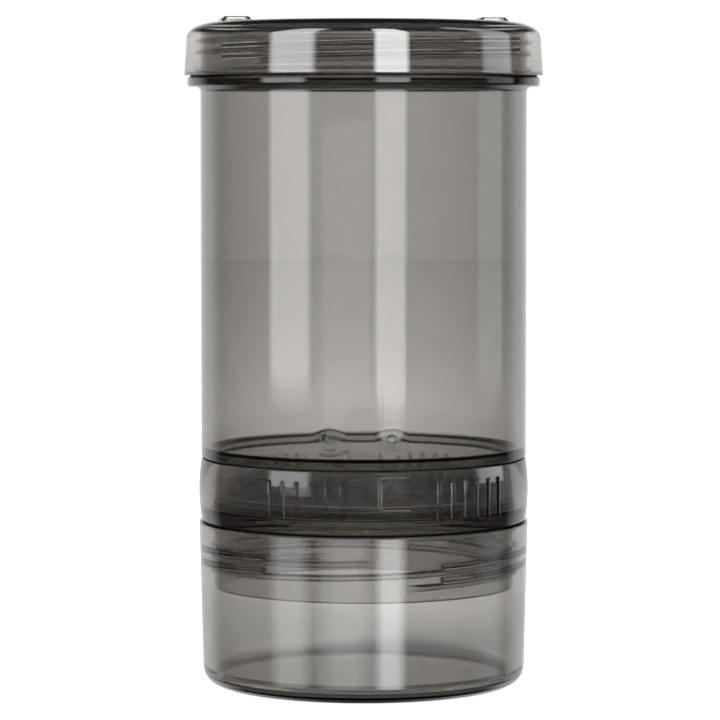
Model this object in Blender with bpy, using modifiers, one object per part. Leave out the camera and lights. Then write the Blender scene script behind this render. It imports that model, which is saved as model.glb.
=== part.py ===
"""Cricket dusting shaker: a clear chamber that twists into a collar, screwed on a powder cup.

All lengths are in metres. The shaker stands on the ground plane with its axis on Z, and its
front, where the collar carries its tick mark, faces -Y. Angles round the axis start at the
front and grow anticlockwise as seen from above.
"""

import math

import bmesh
import bpy

OBJECT_NAME = "cricket_dusting_shaker"
FULL_TURN = 2 * math.pi
HALF_TURN = math.pi

# Facets of round shapes
ROUND_STEPS = 60
CORNER_STEPS = 3
RIDGE_STEP_ANGLE = math.radians(6)
MERGE_DISTANCE = 0.00001

# Fits shared by all the mouldings
SEAM_GAP = 0.0003
SEAT_GAP = 0.0003
RUNNING_GAP = 0.0003
THREAD_GAP = 0.0003
SINK = 0.0003
EDGE_ROUND = 0.0004

# Powder cup
CUP_HEIGHT = 0.0450
CUP_MOUTH_WALL = 0.0024
CUP_DRAFT = 0.0011
CUP_WALL = 0.0020
CUP_FLOOR = 0.0022
CUP_CORNER = 0.0044
CUP_INNER_CORNER = 0.0030

# Screw between the collar's neck and the cup: two starts, right hand
CUP_THREAD_PITCH = 0.0036
CUP_THREAD_DEPTH = 0.00155
CUP_THREAD_START_DROP = 0.0142
CUP_THREAD_START_ANGLE = math.radians(6.5)
CUP_THREAD_SWEEP = math.radians(348)
CUP_SEGMENT_START_ANGLE = math.radians(19.5)
CUP_SEGMENT_SWEEP = math.radians(113)
THREAD_STARTS = 2
THREAD_FLANK_ANGLE = math.radians(20)
THREAD_TIP_STEPS = 2
THREAD_TIP_SHARE = 0.3

# Lock collar
COLLAR_HEIGHT = 0.01725
COLLAR_EDGE_STEP = 0.00005
COLLAR_BULGE = 0.0007
COLLAR_BULGE_STEPS = 3
COLLAR_WALL = 0.0018
COLLAR_FLOOR = 0.0039
NECK_STEP = 0.0036
NECK_WALL = 0.00195
NECK_LENGTH = 0.0183

# Grip ribs on the collar: a group on each side of the front and of the back
RIBS_IN_GROUP = 6
RIB_PITCH_ANGLE = math.radians(5.3)
RIB_GROUP_ANGLE = math.radians(30)
RIB_RADIUS = 0.0006
RIB_STAND = 0.0004
RIB_SIDES = 6
RIB_LENGTH = 0.0107
RIB_BASE_HEIGHT = 0.0037

# Tick mark at the collar's front
TICK_WIDTH = 0.0006
TICK_HEIGHT = 0.0028
TICK_STAND = 0.0003
TICK_BASE_HEIGHT = 0.0028

# Twist lock: hooked rails in the collar, lugs on the chamber's spigot
LUG_COUNT = 2
RAIL_STAND = 0.0013
RAIL_WIDTH = 0.0010
RAIL_BACK_ANGLE = math.radians(-3.6)
RAIL_MOUTH_ANGLE = math.radians(6.7)
RAIL_LOW_HEIGHT = 0.0072
RAIL_TOP_HEIGHT = 0.0149
RAIL_BEND = 0.0012
LUG_WIDTH = 0.0035
LUG_HEIGHT = 0.0053
LUG_STAND = 0.0011
LUG_ANGLE = math.radians(0.7)
LUG_SIDES = 6

# Sieve disc
SIEVE_THICKNESS = 0.0016
SIEVE_RINGS = 5
SIEVE_HOLES_IN_FIRST_RING = 6
SIEVE_HOLE_RADIUS = 0.0018
SIEVE_HOLE_MARGIN = 0.00605
SIEVE_HOLE_SIDES = 6

# Tall chamber
CHAMBER_RADIUS = 0.0450
CHAMBER_WALL = 0.0021
CHAMBER_WALL_HEIGHT = 0.10185
SHOULDER_THICKNESS = 0.0026
SHOULDER_SLOPE = 0.0007
SPIGOT_WALL = 0.0014
FLANGE_STAND = 0.0036
FLANGE_THICKNESS = 0.0028
FLANGE_ROUND = 0.0008
FLANGE_FILLET = 0.0009
RIM_HEIGHT = 0.0111

# Padlock signs moulded on the chamber, shut over the tick mark and open beside it
SIGN_STAND = 0.00035
SIGN_BASE_HEIGHT = 0.0050
SIGN_BODY_WIDTH = 0.0034
SIGN_BODY_HEIGHT = 0.0026
SIGN_CORNER = 0.0005
SIGN_BAR = 0.0005
SHACKLE_RADIUS = 0.0010
SHACKLE_LEG = 0.0008
SHACKLE_STEPS = 4
SHACKLE_OPEN_SHIFT = 0.0016
TWIST_ANGLE = math.radians(21)

# Lid and its screw on the chamber: two starts, right hand
LID_HEIGHT = 0.0149
LID_WALL = 0.0025
LID_LIP = 0.0001
LID_LIP_HEIGHT = 0.0008
LID_DRAFT = 0.00065
LID_ROOF = 0.0023
LID_SHOULDER_WIDTH = 0.0088
LID_SHOULDER_DROP = 0.0042
LID_SHOULDER_STEPS = 5
LID_DOME = 0.0002
LID_INNER_CHAMFER = 0.0019
LID_THREAD_PITCH = 0.0030
LID_THREAD_DEPTH = 0.0016
LID_THREAD_START_HEIGHT = 0.0036
LID_THREAD_START_ANGLE = math.radians(-49)
LID_THREAD_SWEEP = math.radians(340)
LID_SEGMENT_START_ANGLE = math.radians(-61.5)
LID_SEGMENT_SWEEP = math.radians(113)
BLOCK_ANGLE = math.radians(90)
BLOCK_INNER_RADIUS = 0.0315
BLOCK_LENGTH = 0.0085
BLOCK_WIDTH = 0.0100
BLOCK_HEIGHT = 0.0012
BLOCK_SLOPE = 0.0009

# Seal rings
CUP_GASKET_HEIGHT = 0.0014
CHAMBER_GASKET_HEIGHT = 0.0008
LID_GASKET_HEIGHT = 0.0012

# Where each moulding is seated
CUP_THREAD_START_HEIGHT = CUP_HEIGHT - CUP_THREAD_START_DROP
COLLAR_SEAT = CUP_HEIGHT + SEAM_GAP
CHAMBER_SEAT = COLLAR_SEAT + COLLAR_HEIGHT + SEAM_GAP
FLANGE_TOP = CHAMBER_SEAT + CHAMBER_WALL_HEIGHT + FLANGE_THICKNESS
LID_SEAT = FLANGE_TOP + SEAM_GAP
RIM_TOP = FLANGE_TOP + RIM_HEIGHT

# Radii that follow from the chamber's and from the fits
COLLAR_EDGE_RADIUS = CHAMBER_RADIUS - COLLAR_EDGE_STEP
NECK_RADIUS = COLLAR_EDGE_RADIUS - NECK_STEP
FLANGE_RADIUS = CHAMBER_RADIUS + FLANGE_STAND
CUP_THREAD_WALL = NECK_RADIUS + CUP_THREAD_DEPTH + THREAD_GAP
CUP_TOP_RADIUS = CUP_THREAD_WALL + CUP_MOUTH_WALL
CUP_BASE_RADIUS = CUP_TOP_RADIUS - CUP_DRAFT
COLLAR_BORE = COLLAR_EDGE_RADIUS - COLLAR_WALL
NECK_BORE = NECK_RADIUS - NECK_WALL
RAIL_CREST = COLLAR_BORE - RAIL_STAND
SPIGOT_RADIUS = RAIL_CREST - RUNNING_GAP
SPIGOT_BORE = SPIGOT_RADIUS - SPIGOT_WALL
CHAMBER_BORE = CHAMBER_RADIUS - CHAMBER_WALL
LID_THREAD_WALL = CHAMBER_RADIUS + LID_THREAD_DEPTH + THREAD_GAP
LID_BASE_RADIUS = LID_THREAD_WALL + LID_WALL
SIEVE_RADIUS = RAIL_CREST - RUNNING_GAP
SIEVE_HOLE_SPACING = (SIEVE_RADIUS - SIEVE_HOLE_MARGIN) / SIEVE_RINGS

# Heights that follow from the stack inside the collar
SIEVE_SEAT = COLLAR_SEAT + COLLAR_FLOOR + SEAT_GAP
CHAMBER_GASKET_SEAT = SIEVE_SEAT + SIEVE_THICKNESS + SEAT_GAP
SPIGOT_BASE = CHAMBER_GASKET_SEAT + CHAMBER_GASKET_HEIGHT + SEAT_GAP
SPIGOT_LENGTH = CHAMBER_SEAT - SPIGOT_BASE

SMOKE = (0.33, 0.32, 0.30)
DARK_SMOKE = (0.20, 0.195, 0.185)
SIEVE_GREY = (0.28, 0.275, 0.265)
SILICONE = (0.78, 0.78, 0.76)
MOULDED_ROUGHNESS = 0.08
SIEVE_ROUGHNESS = 0.30
SILICONE_ROUGHNESS = 0.45


def clear_scene():
    for obj in list(bpy.data.objects):
        bpy.data.objects.remove(obj, do_unlink=True)


def new_collection(name):
    collection = bpy.data.collections.new(name)
    bpy.context.scene.collection.children.link(collection)
    return collection


def finish(name, colour, roughness):
    """A plain shader of one colour and gloss."""
    material = bpy.data.materials.new(name)
    material.use_nodes = True
    shader = material.node_tree.nodes["Principled BSDF"]
    shader.inputs["Base Color"].default_value = (*colour, 1)
    shader.inputs["Roughness"].default_value = roughness
    shader.inputs["Metallic"].default_value = 0
    return material


def at(radius, angle, height):
    """The point at an angle from the front, anticlockwise from above."""
    return (radius * math.sin(angle), -radius * math.cos(angle), height)


def arc(centre_radius, centre_height, width, height, start, end, steps):
    """Points of an elliptic corner in a turned outline."""
    angles = [start + (end - start) * step / steps for step in range(steps + 1)]
    return [
        (centre_radius + width * math.cos(angle), centre_height + height * math.sin(angle))
        for angle in angles
    ]


def turned(name, outline, seat, material, closed=True):
    """A turned piece. Its outline runs down the outer side, from the piece's own seat."""
    count = len(outline)
    edges = [(index, index + 1) for index in range(count - 1)]
    if closed:
        edges.append((count - 1, 0))
    mesh = bpy.data.meshes.new(name)
    mesh.from_pydata([(radius, 0, height) for radius, height in outline], edges, [])
    mesh.materials.append(material)
    piece = bpy.data.objects.new(name, mesh)
    piece.location.z = seat
    screw = piece.modifiers.new("Turn", "SCREW")
    screw.angle = FULL_TURN
    screw.steps = ROUND_STEPS
    screw.render_steps = ROUND_STEPS
    screw.use_merge_vertices = True
    screw.merge_threshold = MERGE_DISTANCE
    PARTS.objects.link(piece)
    return piece


def skinned(name, bodies):
    """One mesh of closed bodies, each skinned over its rings of points and capped."""
    shape = bmesh.new()
    for rings in bodies:
        loops = [[shape.verts.new(point) for point in ring] for ring in rings]
        count = len(loops[0])
        for low, high in zip(loops, loops[1:]):
            for index in range(count):
                following = (index + 1) % count
                shape.faces.new((low[index], low[following], high[following], high[index]))
        shape.faces.new(tuple(reversed(loops[0])))
        shape.faces.new(tuple(loops[-1]))
    bmesh.ops.recalc_face_normals(shape, faces=shape.faces)
    mesh = bpy.data.meshes.new(name)
    shape.to_mesh(mesh)
    shape.free()
    return bpy.data.objects.new(name, mesh)


def helper(obj, seat):
    """Keep a shape that only adds to or cuts a piece out of the pieces' collection."""
    obj.location.z = seat
    obj.hide_render = True
    obj.display_type = "WIRE"
    HELPERS.objects.link(obj)
    return obj


def combine(piece, other, operation):
    change = piece.modifiers.new(other.name, "BOOLEAN")
    change.operation = operation
    change.solver = "EXACT"
    change.object = other


def add(piece, name, bodies):
    """Join skinned bodies, given from the piece's own seat, to the piece."""
    combine(piece, helper(skinned(name, bodies), piece.location.z), "UNION")


def ridge(root, crest, middle, lead, start_angle, start_height, sweep, pointed):
    """Rings of one thread ridge, from its root on the wall to its crest.

    middle is half the ridge's height half way up its flanks. Pointed ends shrink to a tip.
    """
    outward = math.copysign(1, crest - root)
    depth = abs(crest - root)
    flare = math.tan(THREAD_FLANK_ANGLE)
    steps = round(sweep / RIDGE_STEP_ANGLE)
    rings = []
    for step in range(steps + 1):
        share = 1
        if pointed:
            from_end = min(step, steps - step)
            reach = min(from_end / THREAD_TIP_STEPS, 1)
            share = THREAD_TIP_SHARE + (1 - THREAD_TIP_SHARE) * reach
        turn = sweep * step / steps
        angle = start_angle + turn
        height = start_height + lead * turn / FULL_TURN
        foot = root - outward * SINK
        top = root + outward * depth * share
        foot_half = (middle + (depth / 2 + SINK) * flare) * share
        top_half = (middle - depth / 2 * flare) * share
        rings.append([
            at(foot, angle, height - foot_half),
            at(top, angle, height - top_half),
            at(top, angle, height + top_half),
            at(foot, angle, height + foot_half),
        ])
    return rings


def ridge_middle(pitch):
    """Half a ridge's mean height, so that two ridges share a pitch with their clearance."""
    return (pitch / 2 - THREAD_GAP) / 2


def male_thread(root, depth, pitch, start_angle, start_height, sweep):
    lead = pitch * THREAD_STARTS
    return [
        ridge(root, root + depth, ridge_middle(pitch), lead,
              start_angle + FULL_TURN * start / THREAD_STARTS, start_height, sweep, True)
        for start in range(THREAD_STARTS)
    ]


def female_thread(wall, depth, pitch, start_angle, start_height, segment_angle, segment_sweep):
    """Segments of ridges that lie half a pitch above the male ones, two over each other."""
    lead = pitch * THREAD_STARTS
    segments = []
    for start in range(THREAD_STARTS):
        angle = segment_angle + FULL_TURN * start / THREAD_STARTS
        climb = lead * (segment_angle - start_angle) / FULL_TURN
        first = start_height + climb % pitch + pitch / 2
        for level in range(THREAD_STARTS):
            height = first + pitch * level
            segments.append(ridge(wall, wall - depth, ridge_middle(pitch), lead,
                                  angle, height, segment_sweep, False))
    return segments


def pad(outline, angle, low_radius, high_radius):
    """A raised sign or lug: an outline of widths and heights, bent round the wall."""
    return [
        [at(radius, angle + width / high_radius, height) for width, height in outline]
        for radius in (low_radius, high_radius)
    ]


def strip(path, width, angle, low_radius, high_radius):
    """A raised strip of even width that follows a path of widths and heights on a wall."""
    rings = []
    for index, (across, height) in enumerate(path):
        before = path[max(index - 1, 0)]
        after = path[min(index + 1, len(path) - 1)]
        run = (after[0] - before[0], after[1] - before[1])
        length = math.hypot(*run)
        side = (-run[1] / length * width / 2, run[0] / length * width / 2)
        rings.append([
            at(low_radius, angle + (across - side[0]) / high_radius, height - side[1]),
            at(high_radius, angle + (across - side[0]) / high_radius, height - side[1]),
            at(high_radius, angle + (across + side[0]) / high_radius, height + side[1]),
            at(low_radius, angle + (across + side[0]) / high_radius, height + side[1]),
        ])
    return rings


def rounded_box(centre, base, width, height, corner):
    """Outline of a box with round corners, standing on its base."""
    left = centre - width / 2 + corner
    right = centre + width / 2 - corner
    low = base + corner
    high = base + height - corner
    quarter = FULL_TURN / 4
    points = []
    for across, up, start in ((right, low, -quarter), (right, high, 0),
                              (left, high, quarter), (left, low, HALF_TURN)):
        points += arc(across, up, corner, corner, start, start + quarter, 2)
    return points


def ring_outline(inner, outer, height):
    """Outline of a flat seal ring, from its own seat."""
    return [(inner, height), (outer, height), (outer, 0), (inner, 0)]


def make_powder_cup(material):
    """The deep cup below, with thread segments inside its mouth."""
    corner_radius = CUP_BASE_RADIUS - CUP_CORNER
    floor_radius = CUP_BASE_RADIUS - CUP_WALL
    thread_foot = COLLAR_SEAT - NECK_LENGTH
    quarter = FULL_TURN / 4
    outline = [(0, CUP_FLOOR)]
    outline += arc(floor_radius - CUP_INNER_CORNER, CUP_FLOOR + CUP_INNER_CORNER,
                   CUP_INNER_CORNER, CUP_INNER_CORNER, -quarter, 0, CORNER_STEPS)
    outline += [
        (CUP_THREAD_WALL, thread_foot),
        (CUP_THREAD_WALL, CUP_HEIGHT - EDGE_ROUND),
        (CUP_THREAD_WALL + EDGE_ROUND, CUP_HEIGHT),
        (CUP_TOP_RADIUS - EDGE_ROUND, CUP_HEIGHT),
        (CUP_TOP_RADIUS, CUP_HEIGHT - EDGE_ROUND),
    ]
    outline += arc(corner_radius, CUP_CORNER, CUP_CORNER, CUP_CORNER, 0, -quarter, CORNER_STEPS)
    outline.append((0, 0))
    cup = turned("powder_cup", outline, 0, material, closed=False)
    add(cup, "cup_thread_segments", female_thread(
        CUP_THREAD_WALL, CUP_THREAD_DEPTH, CUP_THREAD_PITCH, CUP_THREAD_START_ANGLE,
        CUP_THREAD_START_HEIGHT, CUP_SEGMENT_START_ANGLE, CUP_SEGMENT_SWEEP))
    return cup


def make_cup_gasket(material):
    """The seal ring round the root of the collar's neck."""
    inner = NECK_RADIUS + SEAT_GAP
    outer = CUP_THREAD_WALL - SEAT_GAP
    seat = COLLAR_SEAT - SEAT_GAP - CUP_GASKET_HEIGHT
    return turned("cup_gasket", ring_outline(inner, outer, CUP_GASKET_HEIGHT), seat, material)


def collar_side():
    """The collar's outer side, slightly barrel shaped, from top to bottom."""
    points = []
    for step in range(COLLAR_BULGE_STEPS + 1):
        share = step / COLLAR_BULGE_STEPS
        height = COLLAR_HEIGHT - EDGE_ROUND - (COLLAR_HEIGHT - 2 * EDGE_ROUND) * share
        radius = COLLAR_EDGE_RADIUS + COLLAR_BULGE * 4 * share * (1 - share)
        points.append((radius, height))
    return points


def collar_radius(height):
    """The collar's outer radius at a height above its seat."""
    share = (COLLAR_HEIGHT - EDGE_ROUND - height) / (COLLAR_HEIGHT - 2 * EDGE_ROUND)
    return COLLAR_EDGE_RADIUS + COLLAR_BULGE * 4 * share * (1 - share)


def rib(angle):
    """A round grip rib, sunk in the collar's side so that its crest stands proud."""
    middle = RIB_BASE_HEIGHT + RIB_LENGTH / 2
    axis_radius = collar_radius(middle) + RIB_STAND - RIB_RADIUS
    return [
        [at(axis_radius + RIB_RADIUS * math.cos(turn),
            angle + RIB_RADIUS * math.sin(turn) / axis_radius, height)
         for turn in (FULL_TURN * side / RIB_SIDES for side in range(RIB_SIDES))]
        for height in (RIB_BASE_HEIGHT, RIB_BASE_HEIGHT + RIB_LENGTH)
    ]


def hook_rail(angle):
    """The hooked rail that traps a lug: a top arm, a back and a bottom arm."""
    radius = COLLAR_BORE
    back = RAIL_BACK_ANGLE * radius
    mouth = RAIL_MOUTH_ANGLE * radius
    quarter = FULL_TURN / 4
    path = [(mouth, RAIL_TOP_HEIGHT)]
    path += arc(back + RAIL_BEND, RAIL_TOP_HEIGHT - RAIL_BEND, RAIL_BEND, RAIL_BEND,
                quarter, HALF_TURN, 3)
    path += arc(back + RAIL_BEND, RAIL_LOW_HEIGHT + RAIL_BEND, RAIL_BEND, RAIL_BEND,
                HALF_TURN, HALF_TURN + quarter, 3)
    path.append((mouth, RAIL_LOW_HEIGHT))
    return strip(path, RAIL_WIDTH, angle, RAIL_CREST, COLLAR_BORE + SINK)


def make_lock_collar(material):
    """The collar between cup and chamber: screw neck below, twist lock inside, ribs outside."""
    outline = [(COLLAR_BORE + EDGE_ROUND, COLLAR_HEIGHT),
               (COLLAR_EDGE_RADIUS - EDGE_ROUND, COLLAR_HEIGHT)]
    outline += collar_side()
    outline += [
        (COLLAR_EDGE_RADIUS - EDGE_ROUND, 0),
        (NECK_RADIUS, 0),
        (NECK_RADIUS, EDGE_ROUND - NECK_LENGTH),
        (NECK_RADIUS - EDGE_ROUND, -NECK_LENGTH),
        (NECK_BORE + EDGE_ROUND, -NECK_LENGTH),
        (NECK_BORE, EDGE_ROUND - NECK_LENGTH),
        (NECK_BORE, COLLAR_FLOOR - EDGE_ROUND),
        (NECK_BORE + EDGE_ROUND, COLLAR_FLOOR),
        (COLLAR_BORE, COLLAR_FLOOR),
        (COLLAR_BORE, COLLAR_HEIGHT - EDGE_ROUND),
    ]
    collar = turned("lock_collar", outline, COLLAR_SEAT, material)
    add(collar, "neck_threads", male_thread(
        NECK_RADIUS, CUP_THREAD_DEPTH, CUP_THREAD_PITCH, CUP_THREAD_START_ANGLE,
        CUP_THREAD_START_HEIGHT - COLLAR_SEAT, CUP_THREAD_SWEEP))
    ribs = []
    for middle in (RIB_GROUP_ANGLE, HALF_TURN - RIB_GROUP_ANGLE,
                   HALF_TURN + RIB_GROUP_ANGLE, -RIB_GROUP_ANGLE):
        for place in range(RIBS_IN_GROUP):
            ribs.append(rib(middle + RIB_PITCH_ANGLE * (place - (RIBS_IN_GROUP - 1) / 2)))
    add(collar, "grip_ribs", ribs)
    add(collar, "hook_rails", [hook_rail(FULL_TURN * lug / LUG_COUNT) for lug in range(LUG_COUNT)])
    tick = rounded_box(0, TICK_BASE_HEIGHT, TICK_WIDTH, TICK_HEIGHT, TICK_WIDTH / 3)
    tick_radius = collar_radius(TICK_BASE_HEIGHT)
    add(collar, "tick_mark", [pad(tick, 0, tick_radius - SINK, tick_radius + TICK_STAND)])
    return collar


def disc(name, radius, thickness, seat, material):
    """A round plate, from a cylinder that stands on its own seat."""
    shape = bmesh.new()
    bmesh.ops.create_cone(shape, cap_ends=True, segments=ROUND_STEPS, radius1=radius,
                          radius2=radius, depth=thickness)
    bmesh.ops.translate(shape, verts=shape.verts, vec=(0, 0, thickness / 2))
    mesh = bpy.data.meshes.new(name)
    shape.to_mesh(mesh)
    shape.free()
    mesh.materials.append(material)
    plate = bpy.data.objects.new(name, mesh)
    plate.location.z = seat
    PARTS.objects.link(plate)
    return plate


def make_sieve_disc(material):
    """The loose sieve on the collar's step, its holes in rings round the middle."""
    sieve = disc("sieve_disc", SIEVE_RADIUS, SIEVE_THICKNESS, SIEVE_SEAT, material)
    centres = [(0, 0)]
    for ring in range(1, SIEVE_RINGS + 1):
        holes = SIEVE_HOLES_IN_FIRST_RING * ring
        centres += [(SIEVE_HOLE_SPACING * ring, FULL_TURN * hole / holes)
                    for hole in range(holes)]
    drills = []
    for radius, angle in centres:
        middle = at(radius, angle, 0)
        drills.append([
            [(middle[0] + SIEVE_HOLE_RADIUS * math.cos(turn),
              middle[1] + SIEVE_HOLE_RADIUS * math.sin(turn), height)
             for turn in (FULL_TURN * side / SIEVE_HOLE_SIDES for side in range(SIEVE_HOLE_SIDES))]
            for height in (-SINK, SIEVE_THICKNESS + SINK)
        ])
    combine(sieve, helper(skinned("sieve_drills", drills), SIEVE_SEAT), "DIFFERENCE")
    return sieve


def make_chamber_gasket(material):
    """The springy ring that the chamber's spigot presses on the sieve's rim."""
    outline = ring_outline(SPIGOT_BORE, SPIGOT_RADIUS, CHAMBER_GASKET_HEIGHT)
    return turned("chamber_gasket", outline, CHAMBER_GASKET_SEAT, material)


def lug(angle):
    """A drop-shaped lug on the spigot: round below, pointed above."""
    centre_height = (RAIL_LOW_HEIGHT + RAIL_TOP_HEIGHT) / 2 + COLLAR_SEAT - CHAMBER_SEAT
    round_radius = LUG_WIDTH / 2
    round_height = centre_height - LUG_HEIGHT / 2 + round_radius
    outline = arc(0, round_height, round_radius, round_radius, HALF_TURN, FULL_TURN, LUG_SIDES)
    outline.append((0, centre_height + LUG_HEIGHT / 2))
    return pad(outline, angle + LUG_ANGLE, SPIGOT_RADIUS - SINK, SPIGOT_RADIUS + LUG_STAND)


def shackle(shift):
    """A padlock's bow. Shifted to the side it hangs on one leg, and the lock is open."""
    foot = SIGN_BASE_HEIGHT + SIGN_BODY_HEIGHT - SIGN_BAR
    bow = foot + SIGN_BAR + SHACKLE_LEG
    free_end = bow - SHACKLE_LEG / 2 if shift else foot
    path = [(shift + SHACKLE_RADIUS, foot)]
    path += arc(shift, bow, SHACKLE_RADIUS, SHACKLE_RADIUS, 0, HALF_TURN, SHACKLE_STEPS)
    path.append((shift - SHACKLE_RADIUS, free_end))
    return path


def make_insect_chamber(material):
    """The tall clear chamber: spigot with lugs below, flange and screw rim above."""
    flange_base = CHAMBER_WALL_HEIGHT
    flange_top = CHAMBER_WALL_HEIGHT + FLANGE_THICKNESS
    rim_top = flange_top + RIM_HEIGHT
    quarter = FULL_TURN / 4
    outline = [
        (CHAMBER_BORE + EDGE_ROUND, rim_top),
        (CHAMBER_RADIUS - EDGE_ROUND, rim_top),
        (CHAMBER_RADIUS, rim_top - EDGE_ROUND),
        (CHAMBER_RADIUS, flange_top),
    ]
    outline += arc(FLANGE_RADIUS - FLANGE_ROUND, flange_top - FLANGE_ROUND,
                   FLANGE_ROUND, FLANGE_ROUND, quarter, 0, CORNER_STEPS)
    outline += arc(FLANGE_RADIUS - FLANGE_ROUND, flange_base + FLANGE_ROUND,
                   FLANGE_ROUND, FLANGE_ROUND, 0, -quarter, CORNER_STEPS)
    outline += [
        (CHAMBER_RADIUS + FLANGE_FILLET, flange_base),
        (CHAMBER_RADIUS, flange_base - FLANGE_FILLET),
        (CHAMBER_RADIUS, EDGE_ROUND),
        (CHAMBER_RADIUS - EDGE_ROUND, 0),
        (SPIGOT_RADIUS, 0),
        (SPIGOT_RADIUS, EDGE_ROUND - SPIGOT_LENGTH),
        (SPIGOT_RADIUS - EDGE_ROUND, -SPIGOT_LENGTH),
        (SPIGOT_BORE + EDGE_ROUND, -SPIGOT_LENGTH),
        (SPIGOT_BORE, EDGE_ROUND - SPIGOT_LENGTH),
        (SPIGOT_BORE, SHOULDER_THICKNESS - SHOULDER_SLOPE),
        (CHAMBER_BORE, SHOULDER_THICKNESS),
        (CHAMBER_BORE, rim_top - EDGE_ROUND),
    ]
    chamber = turned("insect_chamber", outline, CHAMBER_SEAT, material)
    add(chamber, "rim_threads", male_thread(
        CHAMBER_RADIUS, LID_THREAD_DEPTH, LID_THREAD_PITCH, LID_THREAD_START_ANGLE,
        flange_top + LID_THREAD_START_HEIGHT, LID_THREAD_SWEEP))
    add(chamber, "twist_lugs", [lug(FULL_TURN * place / LUG_COUNT) for place in range(LUG_COUNT)])
    low = CHAMBER_RADIUS - SINK
    high = CHAMBER_RADIUS + SIGN_STAND
    body = rounded_box(0, SIGN_BASE_HEIGHT, SIGN_BODY_WIDTH, SIGN_BODY_HEIGHT, SIGN_CORNER)
    add(chamber, "sign_bodies", [pad(body, 0, low, high), pad(body, -TWIST_ANGLE, low, high)])
    add(chamber, "sign_shackles", [
        strip(shackle(0), SIGN_BAR, 0, low, high),
        strip(shackle(-SHACKLE_OPEN_SHIFT), SIGN_BAR, -TWIST_ANGLE, low, high),
    ])
    return chamber


def make_lid_gasket(material):
    """The flat seal that the lid presses on the chamber's rim."""
    outline = ring_outline(CHAMBER_BORE, CHAMBER_RADIUS, LID_GASKET_HEIGHT)
    return turned("lid_gasket", outline, RIM_TOP + SEAT_GAP, material)


def grip_block(angle):
    """A low block on the lid's top, with ends that slope in."""
    outer = BLOCK_INNER_RADIUS + BLOCK_LENGTH
    base = LID_HEIGHT - LID_DOME - SINK
    top = LID_HEIGHT + BLOCK_HEIGHT
    rings = []
    for height, slope in ((base, 0), (LID_HEIGHT, 0), (top, BLOCK_SLOPE)):
        half = BLOCK_WIDTH / 2 - slope
        corners = ((BLOCK_INNER_RADIUS + slope, -half), (outer - slope, -half),
                   (outer - slope, half), (BLOCK_INNER_RADIUS + slope, half))
        rings.append([
            (reach * math.sin(angle) + side * math.cos(angle),
             side * math.sin(angle) - reach * math.cos(angle), height)
            for reach, side in corners
        ])
    return rings


def make_lid(material):
    """The screw lid: a drafted skirt, a round shoulder and two low blocks on its top."""
    quarter = FULL_TURN / 4
    side_radius = LID_BASE_RADIUS - LID_DRAFT
    shoulder_height = LID_HEIGHT - LID_DOME - LID_SHOULDER_DROP
    ceiling = LID_HEIGHT - LID_ROOF
    outline = [(0, LID_HEIGHT)]
    outline += arc(side_radius - LID_SHOULDER_WIDTH, shoulder_height, LID_SHOULDER_WIDTH,
                   LID_SHOULDER_DROP, quarter, 0, LID_SHOULDER_STEPS)
    outline += [
        (LID_BASE_RADIUS, LID_LIP_HEIGHT),
        (LID_BASE_RADIUS + LID_LIP, EDGE_ROUND),
        (LID_BASE_RADIUS + LID_LIP, 0),
        (LID_THREAD_WALL + EDGE_ROUND, 0),
        (LID_THREAD_WALL, EDGE_ROUND),
        (LID_THREAD_WALL, ceiling - LID_INNER_CHAMFER),
        (LID_THREAD_WALL - LID_INNER_CHAMFER, ceiling),
        (0, ceiling),
    ]
    lid = turned("lid", outline, LID_SEAT, material, closed=False)
    add(lid, "lid_thread_segments", female_thread(
        LID_THREAD_WALL, LID_THREAD_DEPTH, LID_THREAD_PITCH, LID_THREAD_START_ANGLE,
        LID_THREAD_START_HEIGHT - SEAM_GAP - LID_THREAD_PITCH, LID_SEGMENT_START_ANGLE,
        LID_SEGMENT_SWEEP))
    add(lid, "grip_blocks", [grip_block(BLOCK_ANGLE), grip_block(-BLOCK_ANGLE)])
    return lid


clear_scene()
PARTS = new_collection(OBJECT_NAME)
HELPERS = new_collection("helpers")

cup_finish = finish("cup_smoke", SMOKE, MOULDED_ROUGHNESS)
chamber_finish = finish("chamber_smoke", SMOKE, MOULDED_ROUGHNESS)
collar_finish = finish("collar_smoke", DARK_SMOKE, MOULDED_ROUGHNESS)
lid_finish = finish("lid_smoke", DARK_SMOKE, MOULDED_ROUGHNESS)
sieve_finish = finish("sieve_grey", SIEVE_GREY, SIEVE_ROUGHNESS)
seal_finish = finish("clear_silicone", SILICONE, SILICONE_ROUGHNESS)

make_powder_cup(cup_finish)
make_cup_gasket(seal_finish)
make_lock_collar(collar_finish)
make_sieve_disc(sieve_finish)
make_chamber_gasket(seal_finish)
make_insect_chamber(chamber_finish)
make_lid_gasket(seal_finish)
make_lid(lid_finish)
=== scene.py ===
# %% [markdown]
# # A smoky clear dusting shaker
#
# This lesson dresses a dusting shaker. It has a cup, a ribbed collar that screws into the
# cup, a tall chamber that twists into the collar, and a screw lid. All four are clear
# mouldings, so what the eye reads is not a painted surface but what light does in thin
# walls, thick ledges and screw threads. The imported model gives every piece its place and
# its motion, and this script gives each one a fine surface.

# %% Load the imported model
import math

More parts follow.
